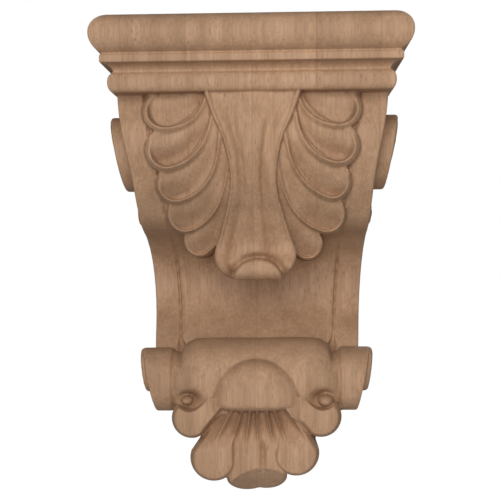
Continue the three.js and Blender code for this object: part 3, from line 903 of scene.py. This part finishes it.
KNOBS = [{"x": -45.6, "drop": 12.2, "radius": 3.4}, {"x": 46, "drop": 12.4, "radius": 4.4}]
KNOB_REACH = 90
KNOB_STRETCH = (1.25, 3, 1)


def knob(blank, sizes):
    """A small round bud in the pocket between the roll and an outer petal."""
    bm = bmesh.new()
    bmesh.ops.create_uvsphere(bm, u_segments=32, v_segments=20, radius=sizes["radius"] * MM)
    centre = blank.at(sizes["x"], KNOB_REACH, blank.roll_drop + sizes["drop"])
    stretch = Matrix.Diagonal(KNOB_STRETCH)
    for vert in bm.verts:
        vert.co = centre + stretch @ vert.co
    return closed(bm)


def flute(x, drop):
    """How deep the flutes that fan out from the dome are at a place, between sharp ridges."""
    split = SPLIT["depth"] * bump(x, SPLIT["x"], SPLIT["width"]) * (1 - rise(drop, *SPLIT["fade"]))
    angle = math.degrees(math.atan2(x - FAN_CENTRE[0], drop - FAN_CENTRE[1]))
    depth = FLUTE["depth"] * (1 - rise(drop, *FLUTE["fade"]))
    for left, right in zip(FAN_RIDGES, FAN_RIDGES[1:]):
        if left < angle < right:
            u = (angle - left) / (right - left)
            return max(split, depth * (4 * u * (1 - u)) ** FLUTE["fullness"])
    return split


def petal(blank, sizes):
    """A petal that is a hollow flute near the dome and a full lobe with a bevelled rim below."""
    outline = tongue(
        (sizes["root"][0], blank.roll_drop + sizes["root"][1]),
        (sizes["bend"][0], blank.roll_drop + sizes["bend"][1]),
        (sizes["tip"][0], blank.roll_drop + sizes["tip"][1]),
        sizes["radius"], sizes["half"], 1, lambda s: s**1.25, 50, 44,
    )

    def top(share, place, s, side, half):
        edge = (1 - share) * half
        spine = mix(DOME_REACH - PETAL_ROOT_SINK, sizes["reach"], smooth(s * 1.4))
        full = PETAL_BULGE["lift"] * (1 - share**2)
        full *= rise(s, PETAL_BULGE["start"], PETAL_BULGE["end"])
        fall = bevelled(edge, PETAL_BEVEL["width"], PETAL_BEVEL["fall"])
        fall *= rise(s, PETAL_BEVEL["start"], PETAL_BEVEL["end"])
        facet_drop = blank.shell_drop - FACET["rise"] + FACET["curve"] * (place.x - FACET["x"]) ** 2
        back = min(FACET["slope"] * max(0, place.y - facet_drop), FACET["depth"])
        if "shelf" in sizes:
            curve = SHELF["curve"] * (abs(place.x) - SHELF["x"]) ** 2
            shelf_drop = blank.roll_drop + sizes["shelf"] - curve
            back += SHELF["fall"] * smooth((shelf_drop - place.y) / SHELF["run"])
        return spine - flute(place.x, place.y) + full - fall - back

    back = TAIL_REACH * PETAL_BACK["share"]
    return carved_tongue(blank, outline, top, lambda drop: back, PETAL_BACK["taper"])


def shell(blank):
    petals = [petal(blank, sizes) for sizes in PETALS]
    knobs = [knob(blank, sizes) for sizes in KNOBS]
    return [dome(blank), tail(blank), *petals, *knobs]


def settle(piece):
    """Gives a piece the mesh that its modifiers make, in place of the modifiers."""
    graph = bpy.context.evaluated_depsgraph_get()
    mesh = bpy.data.meshes.new_from_object(piece.evaluated_get(graph), depsgraph=graph)
    piece.modifiers.clear()
    old = piece.data
    piece.data = mesh
    bpy.data.meshes.remove(old)


SANDING = {"factor": 0.5, "rounds": 7}


def united(blank):
    """The roughed-out shapes made one skin, softened by sanding, with flat stretches thinned."""
    roughs = [item for item in bpy.context.scene.objects if item.get("rough")]
    bm = bmesh.new()
    for item in roughs:
        bm.from_mesh(item.data)
        bpy.data.meshes.remove(item.data)
    piece = placed("corbel_carving", mesh_of(bm, "corbel_carving"))
    skin = piece.modifiers.new("one skin", "REMESH")
    skin.mode = "VOXEL"
    skin.voxel_size = blank.voxel * MM
    skin.adaptivity = 0
    sanding = piece.modifiers.new("sanding", "SMOOTH")
    sanding.factor = SANDING["factor"]
    sanding.iterations = SANDING["rounds"]
    settle(piece)
    thinning = piece.modifiers.new("thinning", "DECIMATE")
    thinning.ratio = min(1, blank.triangles / (2 * len(piece.data.polygons)))
    settle(piece)
    return piece


# Rounds of softening for the two depths from which the wood's painted shade and painted highlights are
# drawn
SOFTENED = {"crease": 4, "hollow": 36}
FINE_EDGE = 1.3


def read(items, name, columns, kind):
    """One row of numbers for each item of a mesh."""
    values = np.empty(len(items) * columns, kind)
    items.foreach_get(name, values)
    return values.reshape(-1, columns)


def mark_hollows(piece):
    """Stores how deep each point lies under the skin softened a little and a lot, in millimetres.

    Where edges are longer than the fine ones, softening reaches further, so the depth counts less.
    """
    mesh = piece.data
    count = len(mesh.vertices)
    places = read(mesh.vertices, "co", 3, np.float32)
    normals = read(mesh.vertices, "normal", 3, np.float32)
    one, other = read(mesh.edges, "vertices", 2, np.int32).T
    neighbours = (np.bincount(one, minlength=count) + np.bincount(other, minlength=count))[:, None]
    lengths = np.linalg.norm(places[one] - places[other], axis=1)
    total = np.bincount(one, lengths, count) + np.bincount(other, lengths, count)
    coarse = np.maximum(1, total / neighbours[:, 0] / (FINE_EDGE * MM))
    for name, rounds in SOFTENED.items():
        soft = places
        for _ in range(rounds):
            around = np.zeros_like(soft)
            np.add.at(around, one, soft[other])
            np.add.at(around, other, soft[one])
            soft = around / neighbours
        depth = ((soft - places) * normals).sum(axis=1) / MM / coarse**2
        attribute = mesh.attributes.new(name, "FLOAT", "POINT")
        attribute.data.foreach_set("value", depth.astype(np.float32))


class Nodes:
    """Short calls that add and join shader nodes."""

    def __init__(self, tree):
        self.tree = tree

    def feed(self, pin, value):
        if isinstance(value, bpy.types.NodeSocket):
            self.tree.links.new(value, pin)
        else:
            pin.default_value = value

    def add(self, kind, inputs=None, **settings):
        node = self.tree.nodes.new(kind)
        for name, value in settings.items():
            setattr(node, name, value)
        for name, value in (inputs or {}).items():
            self.feed(node.inputs[name], value)
        return node

    def noise(self, vector, scale, detail, roughness=0.55):
        inputs = {"Vector": vector, "Scale": scale, "Detail": detail, "Roughness": roughness}
        return self.add("ShaderNodeTexNoise", inputs).outputs["Fac"]

    def stretched(self, vector, scale):
        return self.add("ShaderNodeMapping", {"Vector": vector, "Scale": scale}).outputs["Vector"]

    def ranged(self, value, low, high, to_low=0.0, to_high=1.0):
        names = ("Value", "From Min", "From Max", "To Min", "To Max")
        inputs = dict(zip(names, (value, low, high, to_low, to_high)))
        return self.add("ShaderNodeMapRange", inputs, clamp=True).outputs["Result"]

    def math(self, operation, *values):
        return self.add("ShaderNodeMath", dict(enumerate(values)), operation=operation).outputs[0]

    def blend(self, share, a, b):
        node = self.add("ShaderNodeMix", data_type="RGBA")
        pins = {"Factor_Float": share, "A_Color": a, "B_Color": b}
        for pin in node.inputs:
            if pin.identifier in pins:
                self.feed(pin, pins[pin.identifier])
        return next(pin for pin in node.outputs if pin.identifier == "Result_Color")


def opaque(colour):
    return (*colour, 1.0)


def carved_wood(finish):
    """Bare sanded wood: upright grain, short pores, glued staves, end grain, painted shade in the
    hollows and painted highlights on the crests.
    """
    material = bpy.data.materials.new("carved_wood")
    material.use_nodes = True
    material.node_tree.nodes.clear()
    n = Nodes(material.node_tree)
    place = n.add("ShaderNodeTexCoord").outputs["Object"]
    axes = n.add("ShaderNodeSeparateXYZ", {0: place}).outputs

    # Each stave has its own tone and its own stretch of grain, and the left ones are darker
    across = n.math("DIVIDE", axes["X"], finish.stave)
    stave = n.math("FLOOR", across)
    tone = n.add("ShaderNodeTexWhiteNoise", {"W": stave}, noise_dimensions="1D").outputs["Value"]
    offset = n.add("ShaderNodeCombineXYZ", {"X": 0.0, "Y": 0.0, "Z": n.math("MULTIPLY", stave, 3.7)})
    grained = n.add("ShaderNodeVectorMath", {0: place, 1: offset.outputs[0]}, operation="ADD")
    grained = grained.outputs["Vector"]

    # Broad figure, fine fibre and short pores, all drawn out along the grain
    figure = n.noise(n.stretched(grained, (1, 1, 0.045)), 95, 5, 0.6)
    fibre = n.noise(n.stretched(grained, (1, 1, 0.03)), 620, 3, 0.6)
    pores = n.noise(n.stretched(grained, (1, 1, 0.13)), 1150, 2, 0.5)
    blotch = n.noise(place, 14, 3)

    colour = n.blend(n.ranged(figure, 0.32, 0.68), opaque(finish.dark_wood), opaque(finish.light_wood))
    fibre_tone = n.ranged(fibre, 0.3, 0.7, 0.84, 1.12)
    stave_tone = n.ranged(tone, 0, 1, 0.95, 1.04)
    left_tone = n.ranged(stave, -2, -1, 0.94, 1)
    stave_tone = n.math("MULTIPLY", stave_tone, left_tone)
    blotch_tone = n.ranged(blotch, 0.3, 0.7, 0.95, 1.05)
    shade = n.math("MULTIPLY", n.math("MULTIPLY", fibre_tone, stave_tone), blotch_tone)
    colour = n.add("ShaderNodeVectorMath", {0: colour, "Scale": shade}, operation="SCALE")
    colour = colour.outputs["Vector"]
    pore = n.ranged(pores, 0.62, 0.74, 0, 0.65)
    colour = n.blend(pore, colour, opaque(finish.pore))
    from_middle = n.math("ABSOLUTE", n.math("SUBTRACT", n.math("FRACT", across), 0.5))
    glue = n.ranged(from_middle, 0.5 - 0.45 * MM / finish.stave, 0.5, 0, 0.3)
    colour = n.blend(glue, colour, opaque(finish.pore))

    # End grain, painted shade darkening the hollows and creases, and a painted highlight of light wood
    # along the crests
    normal = n.add("ShaderNodeNewGeometry").outputs["Normal"]
    upright = n.add("ShaderNodeSeparateXYZ", {0: normal}).outputs["Z"]
    end_grain = n.ranged(n.math("ABSOLUTE", upright), 0.5, 1, 0, 0.4)
    colour = n.blend(end_grain, colour, opaque(finish.end_grain))
    # Painted shade: points deep under the softened skin are darkened, where shade gathers in hollows
    # and creases
    hollow = n.add("ShaderNodeAttribute", attribute_name="hollow").outputs["Fac"]
    crease = n.add("ShaderNodeAttribute", attribute_name="crease").outputs["Fac"]
    painted_hollow_shade = n.ranged(hollow, 0.3, 2.4, 0, 0.4)
    painted_crease_shade = n.ranged(crease, 0.13, 0.57, 0, 0.55)
    colour = n.blend(n.math("ADD", painted_hollow_shade, painted_crease_shade), colour, opaque(finish.hollow))
    # Painted highlight: the crests are lightened towards the light wood, standing in for light
    # catching them
    crest = n.ranged(crease, -0.45, -0.13, 0.35, 0)
    colour = n.blend(crest, colour, opaque(finish.light_wood))

    height = n.math("SUBTRACT", n.math("MULTIPLY", fibre, 0.5), pore)
    relief = n.add(
        "ShaderNodeBump", {"Height": height, "Strength": 0.35, "Distance": 0.12 * MM}
    ).outputs["Normal"]
    shader = n.add(
        "ShaderNodeBsdfPrincipled",
        {"Base Color": colour, "Normal": relief, "Roughness": finish.roughness,
         "Specular IOR Level": 0.28},
    )
    n.add("ShaderNodeOutputMaterial", {"Surface": shader.outputs["BSDF"]})
    return material


def plain_paint(name, colour, roughness):
    material = bpy.data.materials.new(name)
    material.use_nodes = True
    shader = material.node_tree.nodes["Principled BSDF"]
    shader.inputs["Base Color"].default_value = opaque(colour)
    shader.inputs["Roughness"].default_value = roughness
    return material


class CORBEL_OT_cap(bpy.types.Operator):
    """Run the cap's moulding round its front and both sides"""

    bl_idname = "corbel.cap"
    bl_label = "Moulded cap"

    def execute(self, context):
        rough("rough_cap", [cap(blank_of(context))])
        return {"FINISHED"}


class CORBEL_OT_body(bpy.types.Operator):
    """Saw out the S-shaped body with its rails and raised panel"""

    bl_idname = "corbel.body"
    bl_label = "Body"

    def execute(self, context):
        rough("rough_body", [body(blank_of(context))])
        return {"FINISHED"}


class CORBEL_OT_roll(bpy.types.Operator):
    """Turn the roll at the foot, with a scroll at each end"""

    bl_idname = "corbel.roll"
    bl_label = "Scroll roll"

    def execute(self, context):
        rough("rough_roll", roll(blank_of(context)))
        return {"FINISHED"}


class CORBEL_OT_side_scrolls(bpy.types.Operator):
    """Carve the scrolls on the upper sides"""

    bl_idname = "corbel.side_scrolls"
    bl_label = "Side scrolls"

    def execute(self, context):
        rough("rough_side_scrolls", side_scrolls(blank_of(context)))
        return {"FINISHED"}


class CORBEL_OT_leaf(bpy.types.Operator):
    """Carve the hanging acanthus leaf: ten lobes, the stem and the rolled lip"""

    bl_idname = "corbel.leaf"
    bl_label = "Acanthus leaf"

    def execute(self, context):
        rough("rough_leaf", leaf(blank_of(context)))
        return {"FINISHED"}


class CORBEL_OT_shell(bpy.types.Operator):
    """Carve the shell under the roll: its dome, petals and flutes"""

    bl_idname = "corbel.shell"
    bl_label = "Shell leaf"

    def execute(self, context):
        rough("rough_shell", shell(blank_of(context)))
        return {"FINISHED"}


class CORBEL_OT_finish(bpy.types.Operator):
    """Unite what was roughed out in one piece of wood, sand it and give it its grain"""

    bl_idname = "corbel.finish"
    bl_label = "Unite and sand"

    def execute(self, context):
        piece = united(blank_of(context))
        mark_hollows(piece)
        piece.data.shade_smooth()
        piece.data.materials.clear()
        piece.data.materials.append(carved_wood(context.scene.corbel_finish))
        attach(piece, "root")
        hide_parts(NODE)
        return {"FINISHED"}


PALE = (0.93, 0.93, 0.92)
LIGHTS = {
    "key": {"place": (-0.15, -1.45, 0.45), "size": 1.2},
    "fill": {"place": (0.1, -1.6, -0.1), "size": 1.2},
    "back": {"place": (0.3, 1.2, 0.5), "size": 0.9},
}


class CORBEL_OT_stage(bpy.types.Operator):
    """Lay the pale floor and set the soft lights and the camera"""

    bl_idname = "corbel.stage"
    bl_label = "Stage"

    def execute(self, context):
        stage = context.scene.corbel_stage
        bm = bmesh.new()
        bmesh.ops.create_grid(bm, x_segments=1, y_segments=1, size=stage.floor_half)
        bmesh.ops.translate(bm, verts=bm.verts, vec=(0, 0, LOW.z - stage.floor_gap))
        floor = placed("floor", mesh_of(bm, "floor"))
        floor.data.materials.append(plain_paint("pale floor", PALE, 0.9))

        context.scene.world = white_studio(stage.sky)
        context.scene.view_settings.view_transform = "Standard"
        middle = Vector((0, LOW.y / 2, 0))
        for name, light in LIGHTS.items():
            watts = getattr(stage, f"{name}_power")
            area_light(name, light["place"], middle, light["size"], watts)
        add_camera(context, stage)
        return {"FINISHED"}


def white_studio(strength):
    """An even white room: pure white to the camera, softer as a light."""
    world = bpy.data.worlds.new("white studio")
    world.use_nodes = True
    world.node_tree.nodes.clear()
    n = Nodes(world.node_tree)
    seen = n.add("ShaderNodeLightPath").outputs["Is Camera Ray"]
    brightness = n.math("MAXIMUM", seen, strength)
    room = n.add("ShaderNodeBackground", {"Color": (1, 1, 1, 1), "Strength": brightness})
    n.add("ShaderNodeOutputWorld", {"Surface": room.outputs["Background"]})
    return world


def aimed(place, target):
    """The turn that points an object's -Z from a place at a target."""
    return (Vector(target) - Vector(place)).to_track_quat("-Z", "Y").to_matrix().to_4x4()


def area_light(name, place, target, size, watts):
    light = bpy.data.lights.new(name, "AREA")
    light.shape = "DISK"
    light.size = size
    light.energy = watts
    placed(name, light).matrix_world = Matrix.Translation(place) @ aimed(place, target)


FOCAL_PX = 1145
IMAGE_WIDTH_PX = 500
SENSOR_WIDTH = 36
AIM_X = -0.0062
CAMERA_ROLL = math.radians(0.5)


def add_camera(context, stage):
    lens = bpy.data.cameras.new("camera")
    lens.sensor_width = SENSOR_WIDTH
    lens.lens = SENSOR_WIDTH * FOCAL_PX / IMAGE_WIDTH_PX
    lens.clip_start = 0.01
    camera = placed("camera", lens)
    place = Vector((stage.camera_side, -stage.camera_distance, stage.camera_height))
    target = Vector((AIM_X, 0, stage.camera_height))
    turn = aimed(place, target) @ Matrix.Rotation(-CAMERA_ROLL, 4, "Z")
    camera.matrix_world = Matrix.Translation(place) @ turn
    context.scene.camera = camera


STEPS = (
    CORBEL_OT_cap,
    CORBEL_OT_body,
    CORBEL_OT_roll,
    CORBEL_OT_side_scrolls,
    CORBEL_OT_leaf,
    CORBEL_OT_shell,
    CORBEL_OT_finish,
    CORBEL_OT_stage,
)


class CORBEL_PT_sidebar(bpy.types.Panel):
    """Sizes, finish and steps of the corbel"""

    bl_idname = "CORBEL_PT_sidebar"
    bl_label = "Carved Corbel"
    bl_space_type = "VIEW_3D"
    bl_region_type = "UI"
    bl_category = "Corbel"

    def draw(self, context):
        layout = self.layout
        for step in STEPS:
            layout.operator(step.bl_idname)
        scene = context.scene
        for group in (scene.corbel_sizes, scene.corbel_finish, scene.corbel_stage):
            column = layout.column(align=True)
            for name in type(group).__annotations__:
                column.prop(group, name)


CLASSES = (CorbelSizes, CorbelFinish, CorbelStage, *STEPS, CORBEL_PT_sidebar)


def register():
    for item in CLASSES:
        bpy.utils.register_class(item)
    bpy.types.Scene.corbel_sizes = PointerProperty(type=CorbelSizes)
    bpy.types.Scene.corbel_finish = PointerProperty(type=CorbelFinish)
    bpy.types.Scene.corbel_stage = PointerProperty(type=CorbelStage)


def unregister():
    del bpy.types.Scene.corbel_stage
    del bpy.types.Scene.corbel_finish
    del bpy.types.Scene.corbel_sizes
    for item in reversed(CLASSES):
        bpy.utils.unregister_class(item)


def main():
    register()
    for step in STEPS:
        group, name = step.bl_idname.split(".")
        getattr(getattr(bpy.ops, group), name)()


if __name__ == "__main__":
    main()
